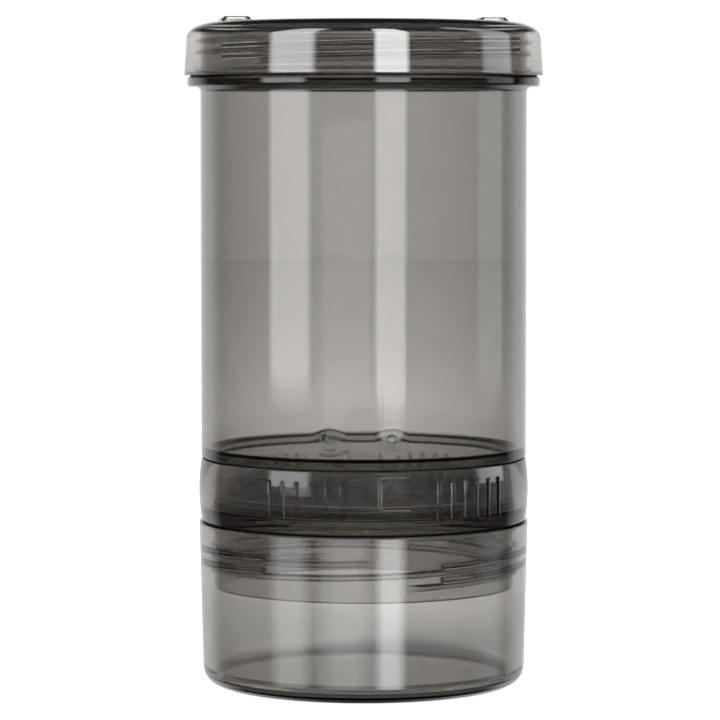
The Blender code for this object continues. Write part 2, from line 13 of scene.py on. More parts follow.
import bmesh
import bpy
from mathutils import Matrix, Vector


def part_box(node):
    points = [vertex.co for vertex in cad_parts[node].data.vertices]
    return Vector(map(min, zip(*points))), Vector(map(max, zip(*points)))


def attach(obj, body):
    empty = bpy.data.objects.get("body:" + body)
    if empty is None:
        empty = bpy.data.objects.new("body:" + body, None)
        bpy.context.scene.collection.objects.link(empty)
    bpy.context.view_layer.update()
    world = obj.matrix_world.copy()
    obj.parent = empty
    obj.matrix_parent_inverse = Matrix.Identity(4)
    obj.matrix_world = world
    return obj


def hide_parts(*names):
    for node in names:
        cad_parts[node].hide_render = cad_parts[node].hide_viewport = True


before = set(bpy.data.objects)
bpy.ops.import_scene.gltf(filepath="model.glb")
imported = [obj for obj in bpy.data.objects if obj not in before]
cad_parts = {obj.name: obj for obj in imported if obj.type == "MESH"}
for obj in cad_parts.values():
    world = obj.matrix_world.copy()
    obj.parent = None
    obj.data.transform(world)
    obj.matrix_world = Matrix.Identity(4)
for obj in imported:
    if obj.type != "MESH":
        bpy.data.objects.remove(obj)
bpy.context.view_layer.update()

FULL_TURN = 2 * math.pi
HALF_TURN = math.pi
QUARTER_TURN = math.pi / 2
MM = 0.001

# %% [markdown]
# ## Where the pieces sit
#
# Each moulding is drawn from its own seat, the height at which it rests on the one below.
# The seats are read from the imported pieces, so the fine surfaces land where the plain
# solids are. The radii that decide the fits are read the same way.

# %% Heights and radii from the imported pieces
def low_of(node):
    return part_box(node)[0].z


def high_of(node):
    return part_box(node)[1].z


def radius_of(node):
    low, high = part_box(node)
    return (high.x - low.x) / 2


SEAM_GAP = 0.3 * MM
FIT_GAP = 0.3 * MM
CUP_TOP = high_of("powder_cup")
COLLAR_SEAT = CUP_TOP + SEAM_GAP
COLLAR_TOP = high_of("lock_collar")
NECK_END = low_of("lock_collar")
CHAMBER_SEAT = COLLAR_TOP + SEAM_GAP
SPIGOT_END = low_of("insect_chamber")
RIM_TOP = high_of("insect_chamber")
LID_SEAT = low_of("lid")
FLANGE_TOP = LID_SEAT - SEAM_GAP
SPIGOT_RADIUS = radius_of("chamber_gasket")
CHAMBER_RADIUS = radius_of("lid_gasket")
print("seats in mm", [round(z / MM, 2) for z in (COLLAR_SEAT, CHAMBER_SEAT, LID_SEAT)])

# %% [markdown]
# ## The camera
#
# The photograph was taken from about a metre away with a long lens, a little above the
# middle of the shaker, so the seams curve gently. The tick mark on the collar is turned
# nine and a half degrees to the right of the view. The camera goes round to meet it. The
# photograph's upright lines stay almost parallel, so the lens is shifted a little and the
# camera tilts less, but only so far that the other views stay framed.

# %% Camera
VIEW_AZIMUTH = math.radians(-9.5)
VIEW_DISTANCE = 0.965
EYE_HEIGHT = 154.9 * MM
AIM_HEIGHT = 101.2 * MM
AIM_SIDE = 1.0 * MM
LENS = 174.5
SHIFT_UP = -0.06


def around(radius, azimuth, height):
    """A point at an azimuth from the front, -Y, anticlockwise from above."""
    return Vector((radius * math.sin(azimuth), -radius * math.cos(azimuth), height))


def make_camera():
    data = bpy.data.cameras.new("studio_camera")
    data.lens = LENS
    data.shift_y = SHIFT_UP
    data.clip_end = 20
    camera = bpy.data.objects.new("studio_camera", data)
    camera.location = around(VIEW_DISTANCE, VIEW_AZIMUTH, EYE_HEIGHT)
    to_the_right = around(1, VIEW_AZIMUTH + QUARTER_TURN, 0)
    aim = Vector((0, 0, AIM_HEIGHT)) - to_the_right * AIM_SIDE
    camera.rotation_mode = "QUATERNION"
    camera.rotation_quaternion = (aim - camera.location).to_track_quat("-Z", "Y")
    bpy.context.scene.collection.objects.link(camera)
    bpy.context.scene.camera = camera


make_camera()
print("camera at", [round(c, 3) for c in bpy.context.scene.camera.location])

# %% [markdown]
# ## Shader maths in plain Python
#
# A material's numbers come from nodes, and a sum of nodes is easier to read as a sum. The
# class below wraps one output socket, so that an expression such as `1 - mask * 0.3` adds
# its Math nodes by itself. Every other node comes from one method, which sets the node's
# own settings first and its sockets after.

# %% Sockets that can be added and multiplied
class Signal:
    """One output socket of a finish, which can be used in a sum."""

    def __init__(self, finish, socket):
        self.finish = finish
        self.socket = socket

    def math(self, operation, first, second):
        return self.finish.node("ShaderNodeMath", {"operation": operation}, {0: first, 1: second})

    def __add__(self, other):
        return self.math("ADD", self, other)

    def __radd__(self, other):
        return self.math("ADD", other, self)

    def __sub__(self, other):
        return self.math("SUBTRACT", self, other)

    def __rsub__(self, other):
        return self.math("SUBTRACT", other, self)

    def __mul__(self, other):
        return self.math("MULTIPLY", self, other)

    def __rmul__(self, other):
        return self.math("MULTIPLY", other, self)

    def __pow__(self, other):
        return self.math("POWER", self, other)


class Finish:
    """A node tree with a method for nodes and one for the shader's own sockets."""

    def __init__(self, owner):
        owner.use_nodes = True
        self.owner = owner
        self.tree = owner.node_tree

    def node(self, kind, settings=None, sockets=None, output=0):
        made = self.tree.nodes.new(kind)
        for name, value in (settings or {}).items():
            setattr(made, name, value)
        for name, value in (sockets or {}).items():
            self.feed(made.inputs[name], value)
        return Signal(self, made.outputs[output])

    def feed(self, socket, value):
        if isinstance(value, Signal):
            self.tree.links.new(value.socket, socket)
        else:
            socket.default_value = value

    def mix_colours(self, share, first, second):
        """A colour between two, by a share from 0 to 1."""
        return self.node("ShaderNodeMix", {"data_type": "RGBA"},
                         {"Factor": share, 6: (*first, 1), 7: (*second, 1)}, output=2)


def new_finish(name):
    """A new material and its Principled shader."""
    finish = Finish(bpy.data.materials.new(name))
    return finish, finish.tree.nodes["Principled BSDF"]


print("shader helpers ready")

# %% [markdown]
# ## The smoky plastic
#
# The mouldings are clear styrene with a little grey-brown dye. The dye sits in the whole
# thickness, so a thin wall looks grey while a ledge, a floor or a thread looks nearly
# black. A tint on the surface can't do that. A Volume Absorption shader can: it takes
# away light for every millimetre of plastic, and its density is the dye's. Each colour
# channel gets its own rate, and the blue one is the fastest, which gives the warm grey.

# %% Finish of the clear mouldings
PLASTIC_IOR = 1.53
DENSITY = 1 / MM
HAZE_SIZE = 14
SCRATCH_SIZE = 1.2
SCRATCH_STRETCH = (0.08, 0.08, 2)
WAVE_SIZE = 12
WAVE_HEIGHT = 0.02 * MM


def place(finish, stretch=(1, 1, 1)):
    """Position on the shaker, in millimetres, stretched along each axis."""
    where = finish.node("ShaderNodeTexCoord", output="Object")
    return finish.node("ShaderNodeMapping", {"vector_type": "POINT"},
                       {"Vector": where, "Scale": tuple(share / MM for share in stretch)})


def noise(finish, size_mm, detail=2.0, stretch=(1, 1, 1)):
    """Soft noise between 0 and 1 whose patches are about size_mm wide."""
    return finish.node("ShaderNodeTexNoise", {"noise_dimensions": "3D"},
                       {"Vector": place(finish, stretch), "Scale": 1 / size_mm,
                        "Detail": detail})


def ramp(finish, value, low, high):
    """value spread from 0 at low to 1 at high, and held there."""
    return finish.node("ShaderNodeMapRange", {"clamp": True},
                       {"Value": value, "From Min": low, "From Max": high})


def bumped(finish, height, distance, strength):
    return finish.node("ShaderNodeBump", None,
                       {"Height": height, "Distance": distance, "Strength": strength})


def dyed(finish, dye):
    """Absorb a share of each colour channel for every millimetre."""
    absorption = finish.tree.nodes.new("ShaderNodeVolumeAbsorption")
    absorption.inputs["Color"].default_value = (*(1 - share for share in dye), 1)
    absorption.inputs["Density"].default_value = DENSITY
    end = finish.tree.nodes["Material Output"]
    finish.tree.links.new(absorption.outputs["Volume"], end.inputs["Volume"])


# %% [markdown]
# Real mouldings are never quite even. The surface carries a faint waviness from cooling in
# the mould, and handling leaves a haze that is rougher in patches, with fine scratches
# along the turning direction. All of that is noise in millimetres. The surface's own
# colour stays close to white, with patches of haze that take one or two hundredths.

# %% Smoky plastic
def smoky_plastic(name, dye, roughness):
    """Clear plastic. dye is the share of each colour that a millimetre absorbs."""
    finish, shader = new_finish(name)
    dyed(finish, dye)
    shader.inputs["Metallic"].default_value = 0
    shader.inputs["IOR"].default_value = PLASTIC_IOR
    shader.inputs["Transmission Weight"].default_value = 1
    haze = ramp(finish, noise(finish, HAZE_SIZE, 3), 0.5, 0.8)
    finish.feed(shader.inputs["Base Color"],
                finish.mix_colours(haze, (1, 1, 1), (0.975, 0.972, 0.968)))
    scratches = ramp(finish, noise(finish, SCRATCH_SIZE, 3, SCRATCH_STRETCH), 0.62, 0.8)
    finish.feed(shader.inputs["Roughness"], roughness + haze * 0.010 + scratches * 0.0015)
    waves = noise(finish, WAVE_SIZE, 1)
    finish.feed(shader.inputs["Normal"], bumped(finish, waves, WAVE_HEIGHT, 0.2))
    return finish.owner


SMOKE_DYE = (0.372, 0.384, 0.401)
LID_DYE = (0.200, 0.208, 0.220)
COLLAR_DYE = (0.325, 0.336, 0.351)
CUP_DYE = (0.285, 0.294, 0.308)
chamber_plastic = smoky_plastic("chamber_smoke_clear", SMOKE_DYE, 0.012)
collar_plastic = smoky_plastic("collar_smoke_clear", COLLAR_DYE, 0.014)
cup_plastic = smoky_plastic("cup_smoke_clear", CUP_DYE, 0.014)
lid_plastic = smoky_plastic("lid_smoke_clear", LID_DYE, 0.010)
print("plastics", chamber_plastic.name, collar_plastic.name, cup_plastic.name, lid_plastic.name)

# %% [markdown]
# ## The sieve's and the seals' finishes
#
# The sieve is the darkest moulding, with a finely textured face that scatters what it
# mirrors, because the camera sees it almost edge on. The seal rings are silicone, soft and
# slightly dull: clear round the neck, and smoke grey under the lid and on the sieve, where
# the photograph shows dark bands. The faces where two mouldings meet get a matt black
# finish of painted shade, which draws the seams' fine black shadow lines between them.

# %% Finishes of the inner pieces
SIEVE_DARK = (0.030, 0.029, 0.028)
SIEVE_LIGHT = (0.055, 0.054, 0.052)
CLEAR_SILICONE_DYE = (0.06, 0.062, 0.066)
SMOKY_SILICONE_DYE = (0.80, 0.81, 0.82)
SILICONE_IOR = 1.41


def textured_plastic(name):
    finish, shader = new_finish(name)
    shader.inputs["IOR"].default_value = PLASTIC_IOR
    shader.inputs["Specular IOR Level"].default_value = 0.3
    speckle = ramp(finish, noise(finish, 0.35, 3), 0.4, 0.7)
    finish.feed(shader.inputs["Base Color"],
                finish.mix_colours(speckle, SIEVE_DARK, SIEVE_LIGHT))
    finish.feed(shader.inputs["Roughness"], 0.62 + speckle * 0.12)
    finish.feed(shader.inputs["Normal"], bumped(finish, speckle, 0.03 * MM, 0.5))
    return finish.owner


def silicone(name, dye):
    finish, shader = new_finish(name)
    dyed(finish, dye)
    shader.inputs["IOR"].default_value = SILICONE_IOR
    shader.inputs["Transmission Weight"].default_value = 1
    clouds = ramp(finish, noise(finish, 6, 3), 0.3, 0.7)
    finish.feed(shader.inputs["Base Color"],
                finish.mix_colours(clouds, (0.95, 0.95, 0.94), (0.88, 0.88, 0.87)))
    finish.feed(shader.inputs["Roughness"], 0.14 + clouds * 0.08)
    finish.feed(shader.inputs["Normal"], bumped(finish, noise(finish, 0.5, 2), 0.01 * MM, 0.4))
    return finish.owner


def painted_seam_shade_finish(name):
    """Painted shade: the matt faces where two mouldings meet, black to draw the seams' shadow
    lines seen edge on.
    """
    finish, shader = new_finish(name)
    shader.inputs["Specular IOR Level"].default_value = 0.1
    # Painted shade: near-black grain that draws the seams' shadow lines.
    grain = ramp(finish, noise(finish, 0.5, 2), 0.3, 0.7)
    finish.feed(shader.inputs["Base Color"],
                finish.mix_colours(grain, (0.008, 0.008, 0.008), (0.016, 0.016, 0.015)))
    finish.feed(shader.inputs["Roughness"], 0.65 + grain * 0.15)
    return finish.owner


sieve_plastic = textured_plastic("sieve_textured_smoke")
clear_seal = silicone("seal_clear_silicone", CLEAR_SILICONE_DYE)
smoky_seal = silicone("seal_smoky_silicone", SMOKY_SILICONE_DYE)
seam_painted_shade = painted_seam_shade_finish("seam_shadow_painted")
print("inner finishes", sieve_plastic.name, clear_seal.name, smoky_seal.name, seam_painted_shade.name)

# %% [markdown]
# ## Turning a moulding
#
# Every big piece here is round, so each one is a profile turned about the axis. The
# profile is written as corners, each with the radius that the mould gives it, because no
# moulded edge is sharp, and the small highlights along rounded edges are what makes clear
# plastic look real. Long straight stretches get a point near each end, or smooth shading
# would bend the wall's reflections from one rounded edge to the next. A Screw modifier
# does the turning. The profile runs down the outer side and up the inner one, which makes
# the surface face outwards.

# %% Profiles and turned pieces
TURN_STEPS = 288
CORNER_STEPS = 4
MERGE_DISTANCE = 0.001 * MM
LONG_STRETCH = 0.8 * MM
HOLD = 0.1 * MM
SHARP_ANGLE = math.radians(32)


def arc(centre, width, height, start, end, steps):
    """Points of an elliptic arc round a centre."""
    return [
        (centre[0] + width * math.cos(turn), centre[1] + height * math.sin(turn))
        for turn in (start + (end - start) * step / steps for step in range(steps + 1))
    ]


def softened(corners, closed):
    """The outline through corners of (radius, height, rounding)."""
    points = []
    for index, (radius, height, rounding) in enumerate(corners):
        corner = Vector((radius, height))
        at_end = not closed and index in (0, len(corners) - 1)
        if at_end or not rounding:
            points.append((radius, height))
            continue
        before = (Vector(corners[index - 1][:2]) - corner).normalized()
        after = (Vector(corners[(index + 1) % len(corners)][:2]) - corner).normalized()
        half = before.angle(after) / 2
        centre = corner + (before + after).normalized() * rounding / math.sin(half)
        start = corner + before * rounding / math.tan(half) - centre
        end = corner + after * rounding / math.tan(half) - centre
        first = math.atan2(start.y, start.x)
        sweep = (math.atan2(end.y, end.x) - first + HALF_TURN) % FULL_TURN - HALF_TURN
        points += arc(centre, rounding, rounding, first, first + sweep, CORNER_STEPS)
    return points


def held(points, closed):
    """Extra points near the ends of long straight stretches, which keep their shading flat."""
    after = points[1:] + points[:1] if closed else points[1:]
    result = []
    for index, start in enumerate(points):
        result.append(start)
        if index >= len(after):
            continue
        run = Vector(after[index]) - Vector(start)
        if run.length > LONG_STRETCH:
            step = run.normalized() * HOLD
            result += [tuple(Vector(start) + step), tuple(Vector(after[index]) - step)]
    return result


def new_object(name, mesh):
    piece = bpy.data.objects.new(name, mesh)
    bpy.context.scene.collection.objects.link(piece)
    return piece


def turned(name, points, closed):
    """A piece turned from an outline of radii and heights."""
    points = held(points, closed)
    edges = [(index, index + 1) for index in range(len(points) - 1)]
    if closed:
        edges.append((len(points) - 1, 0))
    mesh = bpy.data.meshes.new(name)
    mesh.from_pydata([(radius, 0, height) for radius, height in points], edges, [])
    piece = new_object(name, mesh)
    screw = piece.modifiers.new("Turn", "SCREW")
    screw.angle = FULL_TURN
    screw.steps = TURN_STEPS
    screw.render_steps = TURN_STEPS
    screw.use_merge_vertices = True
    screw.merge_threshold = MERGE_DISTANCE
    return piece


def settled(piece, material):
    """Make the modifiers part of the mesh, shade it and give it its material."""
    graph = bpy.context.evaluated_depsgraph_get()
    mesh = bpy.data.meshes.new_from_object(piece.evaluated_get(graph))
    helpers = [change.object for change in piece.modifiers if change.type == "BOOLEAN"]
    piece.modifiers.clear()
    piece.data = mesh
    for helper in helpers:
        bpy.data.objects.remove(helper)
    mesh.shade_smooth()
    mesh.set_sharp_from_angle(angle=SHARP_ANGLE)
    mesh.materials.clear()
    mesh.materials.append(material)
    return piece


def dress(piece, node, body):
    """Let a fine piece stand for a packed one and move with its body."""
    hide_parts(node)
    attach(piece, body)
    low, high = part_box(node)
    width = max(vertex.co.x for vertex in piece.data.vertices) * 2 / MM
    print(piece.name, "faces", len(piece.data.polygons), "width", round(width, 2),
          "packed width", round((high.x - low.x) / MM, 2))


print("turning with", TURN_STEPS, "steps")

# %% [markdown]
# ## Threads, ribs and signs
#
# Details that stand on a round wall are skinned over rings of points that follow the wall,
# then joined to it with an exact Boolean. Joining matters more for clear plastic than for
# any other: a ridge that was only pushed into the wall would leave its hidden faces inside,
# and light would bend at them.

# %% Details that stand on a wall
RIDGE_STEP = math.radians(1.25)
SINK = 0.3 * MM
FLANK_ANGLE = math.radians(20)
CREST_ROUND = 0.12 * MM
RAMP_ANGLE = math.radians(5)
RAMP_START = 0.06
STRIP_ROUND = 0.34


def skinned(name, bodies):
    """Closed bodies, each skinned over its rings of points and capped at both ends."""
    shape = bmesh.new()
    for rings in bodies:
        loops = [[shape.verts.new(point) for point in ring] for ring in rings]
        count = len(loops[0])
        for low, high in zip(loops, loops[1:]):
            for index in range(count):
                following = (index + 1) % count
                shape.faces.new((low[index], low[following], high[following], high[index]))
        shape.faces.new(tuple(reversed(loops[0])))
        shape.faces.new(tuple(loops[-1]))
    bmesh.ops.recalc_face_normals(shape, faces=shape.faces)
    mesh = bpy.data.meshes.new(name)
    shape.to_mesh(mesh)
    shape.free()
    return new_object(name, mesh)


def combine(piece, bodies, operation="UNION"):
    """Join skinned bodies to a piece, or cut them from it."""
    change = piece.modifiers.new("Detail", "BOOLEAN")
    change.operation = operation
    change.solver = "EXACT"
    change.object = skinned(piece.name + "_detail", bodies)


def ridge(root, crest, foot_half, crest_half, lead, start, height, sweep, ramped):
    """Rings of one thread ridge. Ramped ends rise from the wall to the full crest."""
    outward = math.copysign(1, crest - root)
    steps = round(sweep / RIDGE_STEP)
    rings = []
    for step in range(steps + 1):
        turn = sweep * step / steps
        rise = min(min(turn, sweep - turn) / RAMP_ANGLE, 1) if ramped else 1
        share = RAMP_START + (1 - RAMP_START) * rise
        top = root + (crest - root) * share
        top_half = foot_half + (crest_half - foot_half) * share
        middle = height + lead * turn / FULL_TURN
        below_top = top - outward * CREST_ROUND * share
        section = (
            (root - outward * SINK, -foot_half), (below_top, -top_half - CREST_ROUND * share / 2),
            (top, -top_half + CREST_ROUND * share), (top, top_half - CREST_ROUND * share),
            (below_top, top_half + CREST_ROUND * share / 2), (root - outward * SINK, foot_half),
        )
        rings.append([around(radius, start + turn, middle + up) for radius, up in section])
    return rings


def thread_halves(pitch, depth):
    """Half heights of a ridge at its foot and at its crest, leaving the fit between two."""
    middle = (pitch / 2 - FIT_GAP) / 2
    flare = math.tan(FLANK_ANGLE) * depth / 2
    return middle + flare, middle - flare


def pad(outline, azimuth, layers):
    """A raised sign: an outline of widths and heights, at layers of (radius, inset)."""
    centre = sum(height for _, height in outline) / len(outline)
    middle = sum(width for width, _ in outline) / len(outline)
    tallest = max(abs(height - centre) for _, height in outline)
    rings = []
    for radius, inset in layers:
        keep = 1 - inset / tallest
        rings.append([
            around(radius, azimuth + (middle + (width - middle) * keep) / layers[-1][0],
                   centre + (height - centre) * keep)
            for width, height in outline
        ])
    return rings


def strip(path, width, azimuth, low, high):
    """A raised strip of even width along a path of widths and heights on a wall."""
    inner, outer = sorted((low, high))
    soft = min(width, outer - inner) * STRIP_ROUND
    towards_low = math.copysign(soft, low - high)
    rings = []
    for index, (across, height) in enumerate(path):
        before = path[max(index - 1, 0)]
        after = path[min(index + 1, len(path) - 1)]
        run = Vector((after[0] - before[0], after[1] - before[1])).normalized()
        side = Vector((-run.y, run.x)) * width / 2
        section = ((low, -1), (high + towards_low, -1), (high, soft * 2 / width - 1),
                   (high, 1 - soft * 2 / width), (high + towards_low, 1), (low, 1))
        rings.append([
            around(radius, azimuth + (across + side.x * share) / high, height + side.y * share)
            for radius, share in section
        ])
    return rings


def rounded_box(base, width, height, corner, steps=4):
    """Outline of a box with round corners, standing on its base."""
    right, top = width / 2 - corner, base + height - corner
    points = []
    for across, up, start in ((right, base + corner, -QUARTER_TURN), (right, top, 0),
                              (-right, top, QUARTER_TURN), (-right, base + corner, HALF_TURN)):
        points += arc((across, up), corner, corner, start, start + QUARTER_TURN, steps)
    return points


print("one ridge ring holds 6 points, every", round(math.degrees(RIDGE_STEP), 2), "degrees")

# %% [markdown]
# ## The cup
#
# The cup is the deep base. It flares slightly towards its mouth so that it left its mould
# easily, and it has a generous round corner at the base. Inside the mouth are two pairs of
# thread segments with square ends and wide gaps between them, a common way to let a mould
# core turn out. The collar's neck screws up and down between them.

# %% Cup
CUP_MOUTH_RADIUS = radius_of("powder_cup")
CUP_BASE_RADIUS = 44.5 * MM
CUP_WALL = 2.0 * MM
CUP_FLOOR = 2.2 * MM
CUP_CORNER = 4.4 * MM
CUP_INNER_CORNER = 3.0 * MM
CUP_WALL_CORNER = 2.0 * MM
NECK_RADIUS = 41.35 * MM
CUP_PITCH = 3.6 * MM
CUP_THREAD_DEPTH = 1.55 * MM
CUP_THREAD_HEIGHT = 30.8 * MM
CUP_THREAD_AZIMUTH = math.radians(6.5)
CUP_THREAD_SWEEP = math.radians(348)
CUP_SEGMENT_AZIMUTH = math.radians(19.5)
SEGMENT_SWEEP = math.radians(113)
STARTS = 2
CUP_THREAD_WALL = NECK_RADIUS + CUP_THREAD_DEPTH + FIT_GAP
EDGE = 0.4 * MM


def female_segments(wall, depth, pitch, thread_azimuth, thread_height, segment_azimuth):
    """Segments of inner thread that lie midway between the ridges they take."""
    lead = pitch * STARTS
    foot, crest = thread_halves(pitch, depth)
    climb = lead * (segment_azimuth - thread_azimuth) / FULL_TURN % pitch
    segments = []
    for start in range(STARTS):
        azimuth = segment_azimuth + FULL_TURN * start / STARTS
        for level in range(STARTS):
            height = thread_height + climb + pitch / 2 + pitch * level
            segments.append(ridge(wall, wall - depth, foot, crest, lead, azimuth, height,
                                  SEGMENT_SWEEP, False))
    return segments


def male_ridges(root, depth, pitch, azimuth, height, sweep):
    foot, crest = thread_halves(pitch, depth)
    return [ridge(root, root + depth, foot, crest, pitch * STARTS,
                  azimuth + FULL_TURN * start / STARTS, height, sweep, True)
            for start in range(STARTS)]


def make_cup():
    corners = [
        (0, CUP_FLOOR, 0),
        (CUP_BASE_RADIUS - CUP_WALL, CUP_FLOOR, CUP_INNER_CORNER),
        (CUP_THREAD_WALL, NECK_END, CUP_WALL_CORNER),
        (CUP_THREAD_WALL, CUP_TOP, EDGE),
        (CUP_MOUTH_RADIUS, CUP_TOP, EDGE),
        (CUP_BASE_RADIUS, 0, CUP_CORNER),
        (0, 0, 0),
    ]
    cup = turned("cup_shell", softened(corners, False), False)
    combine(cup, female_segments(CUP_THREAD_WALL, CUP_THREAD_DEPTH, CUP_PITCH,
                                 CUP_THREAD_AZIMUTH, CUP_THREAD_HEIGHT, CUP_SEGMENT_AZIMUTH))
    return settled(cup, cup_plastic)


cup_shell = make_cup()
dress(cup_shell, "powder_cup", "cup")

# %% [markdown]
# ## The lock collar
#
# The collar is the busiest moulding: a threaded neck reaches down into the cup, a thick
# floor carries the sieve, and the barrel above takes the chamber's spigot. Thumb ribs
# stand on its side in four groups, one on each side of its front and its back. A tick
# mark shows the front, and inside, at the front and the back, a hooked rail waits for a
# lug of the chamber.

# %% Lock collar
COLLAR_HEIGHT = COLLAR_TOP - COLLAR_SEAT
COLLAR_EDGE_RADIUS = 44.95 * MM
COLLAR_BULGE = 0.7 * MM
BULGE_SHARES = (0.9, 0.75, 0.6, 0.45, 0.3, 0.15)
COLLAR_BORE = 43.15 * MM
COLLAR_FLOOR = COLLAR_SEAT + 3.9 * MM
NECK_BORE = 39.4 * MM
RIBS_IN_GROUP = 6
RIB_PITCH = math.radians(5.3)
RIB_GROUP = math.radians(30)
RIB_RADIUS = 0.72 * MM
RIB_STAND = 0.5 * MM
RIB_SHARE = 0.52
RIB_SIDES = 14
RIB_END_STEPS = 5
RIB_END_ANGLE = math.radians(12)
RIB_TIP = 0.05 * MM
RIB_LOW = COLLAR_SEAT + 3.7 * MM
RIB_HIGH = COLLAR_SEAT + 14.4 * MM
RAIL_CREST = COLLAR_BORE - 1.3 * MM
RAIL_WIDTH = 1.0 * MM
RAIL_BACK = -3.6
RAIL_MOUTH = 6.7
RAIL_LOW = COLLAR_SEAT + 7.2 * MM
RAIL_HIGH = COLLAR_SEAT + 14.9 * MM
RAIL_BEND = 1.2 * MM
RAIL_BEND_STEPS = 6
TICK_LOW = COLLAR_SEAT + 2.8 * MM
TICK_WIDTH = 0.7 * MM
TICK_HEIGHT = 2.8 * MM
TICK_CORNER = 0.25 * MM
TICK_SHARE = 0.24
TICK_SIDE = 0.25 * MM
TICK_STAND = 0.42 * MM
TICK_BEVEL = 0.15 * MM


def collar_radius(share):
    """Outer radius of the barrel at a share of its height."""
    return COLLAR_EDGE_RADIUS + COLLAR_BULGE * 4 * share * (1 - share)


def rib(azimuth):
    """A thumb rib: an upright round bar, half sunk, with round ends."""
    axis = collar_radius(RIB_SHARE) + RIB_STAND - RIB_RADIUS
    levels = []
    for step in range(RIB_END_STEPS + 1):
        turn = RIB_END_ANGLE + (QUARTER_TURN - RIB_END_ANGLE) * step / RIB_END_STEPS
        levels.append((RIB_LOW + RIB_RADIUS * (1 - math.sin(turn)), RIB_RADIUS * math.cos(turn)))
    levels = sorted((low, max(width, RIB_TIP)) for low, width in levels)
    levels += [(RIB_LOW + RIB_HIGH - low, width) for low, width in reversed(levels)]
    return [
        [around(axis + width * math.cos(turn), azimuth + width * math.sin(turn) / axis, height)
         for turn in (FULL_TURN * side / RIB_SIDES for side in range(RIB_SIDES))]
        for height, width in levels
    ]


def hook_path():
    back = math.radians(RAIL_BACK) * COLLAR_BORE
    mouth = math.radians(RAIL_MOUTH) * COLLAR_BORE
    path = [(mouth, RAIL_HIGH)]
    path += arc((back + RAIL_BEND, RAIL_HIGH - RAIL_BEND), RAIL_BEND, RAIL_BEND,
                QUARTER_TURN, HALF_TURN, RAIL_BEND_STEPS)
    path += arc((back + RAIL_BEND, RAIL_LOW + RAIL_BEND), RAIL_BEND, RAIL_BEND,
                HALF_TURN, HALF_TURN + QUARTER_TURN, RAIL_BEND_STEPS)
    path.append((mouth, RAIL_LOW))
    return path


def make_collar():
    side = [(collar_radius(share), COLLAR_SEAT + COLLAR_HEIGHT * share, 0)
            for share in BULGE_SHARES]
    corners = [
        (COLLAR_EDGE_RADIUS, COLLAR_TOP, EDGE), *side,
        (COLLAR_EDGE_RADIUS, COLLAR_SEAT, EDGE),
        (NECK_RADIUS, COLLAR_SEAT, EDGE / 2),
        (NECK_RADIUS, NECK_END, EDGE),
        (NECK_BORE, NECK_END, EDGE),
        (NECK_BORE, COLLAR_FLOOR, EDGE),
        (COLLAR_BORE, COLLAR_FLOOR, EDGE),
        (COLLAR_BORE, COLLAR_TOP, EDGE),
    ]
    collar = turned("collar_shell", softened(corners, True), True)
    combine(collar, male_ridges(NECK_RADIUS, CUP_THREAD_DEPTH, CUP_PITCH, CUP_THREAD_AZIMUTH,
                                CUP_THREAD_HEIGHT, CUP_THREAD_SWEEP))
    combine(collar, [
        rib(group + RIB_PITCH * (place_in_group - (RIBS_IN_GROUP - 1) / 2))
        for group in (RIB_GROUP, HALF_TURN - RIB_GROUP, HALF_TURN + RIB_GROUP, -RIB_GROUP)
        for place_in_group in range(RIBS_IN_GROUP)
    ])
    combine(collar, [strip(hook_path(), RAIL_WIDTH, azimuth, COLLAR_BORE + SINK, RAIL_CREST)
                     for azimuth in (0, HALF_TURN)])
    tick = rounded_box(TICK_LOW, TICK_WIDTH, TICK_HEIGHT, TICK_CORNER)
    surface = collar_radius(TICK_SHARE)
    combine(collar, [pad(tick, 0, ((surface - SINK, 0), (surface + TICK_SIDE, 0),
                                   (surface + TICK_STAND, TICK_BEVEL)))])
    return settled(collar, collar_plastic)


collar_shell = make_collar()
dress(collar_shell, "lock_collar", "collar")

# %% [markdown]
# ## The chamber
#
# The chamber is the plain tall tube. Its foot narrows to a spigot with a thick shoulder,
# which shows as a dark ring just above the collar. Two drop-shaped lugs stand on the
# spigot. Two small padlock signs stand on the wall, one shut over the tick mark and one
# open a twist away. At the top a rounded flange stops the lid, with a threaded rim above.

# %% Chamber
CHAMBER_BORE = 42.9 * MM
SPIGOT_BORE = 40.15 * MM
SHOULDER = 2.6 * MM
SHOULDER_SLOPE = 0.7 * MM
FLANGE_RADIUS = 48.6 * MM
FLANGE_THICKNESS = 2.8 * MM
FLANGE_ROUND = 0.8 * MM
FLANGE_FILLET = 0.9 * MM
FILLET_ROUND = 0.6 * MM
LID_PITCH = 3.0 * MM
LID_THREAD_DEPTH = 1.6 * MM
LID_THREAD_AZIMUTH = math.radians(-49)
LID_THREAD_HEIGHT = FLANGE_TOP + 3.6 * MM
LID_THREAD_SWEEP = math.radians(340)
LUG_WIDTH = 3.5 * MM
LUG_HEIGHT = 5.3 * MM
LUG_STAND = 1.1 * MM
LUG_BEVEL = 0.2 * MM
LUG_AZIMUTH = math.radians(0.7)
LUG_PAST_HALF = math.radians(20)
LUG_STEPS = 16
TWIST = math.radians(21)
SIGN_LOW = CHAMBER_SEAT + 5.0 * MM
SIGN_WIDTH = 3.4 * MM
SIGN_HEIGHT = 2.6 * MM
SIGN_STAND = 0.35 * MM
SIGN_BAR = 0.5 * MM
SIGN_CORNER = 0.6 * MM
SIGN_BEVEL = 0.1 * MM
WINDOW_CORNER = 0.3 * MM
WINDOW_FLOOR = 0.08 * MM
BOW_RADIUS = 1.0 * MM
BOW_LEG = 0.8 * MM
BOW_SHIFT = 1.6 * MM
BOW_STEPS = 10
SWELL_RADIUS = 5.2 * MM
SWELL_HEIGHT = 0.11 * MM
SWELL_SINK = 0.004 * MM
SWELL_MIDDLE = SIGN_LOW + SIGN_HEIGHT * 0.8
SWELL_RINGS = 11
SWELL_SIDES = 40


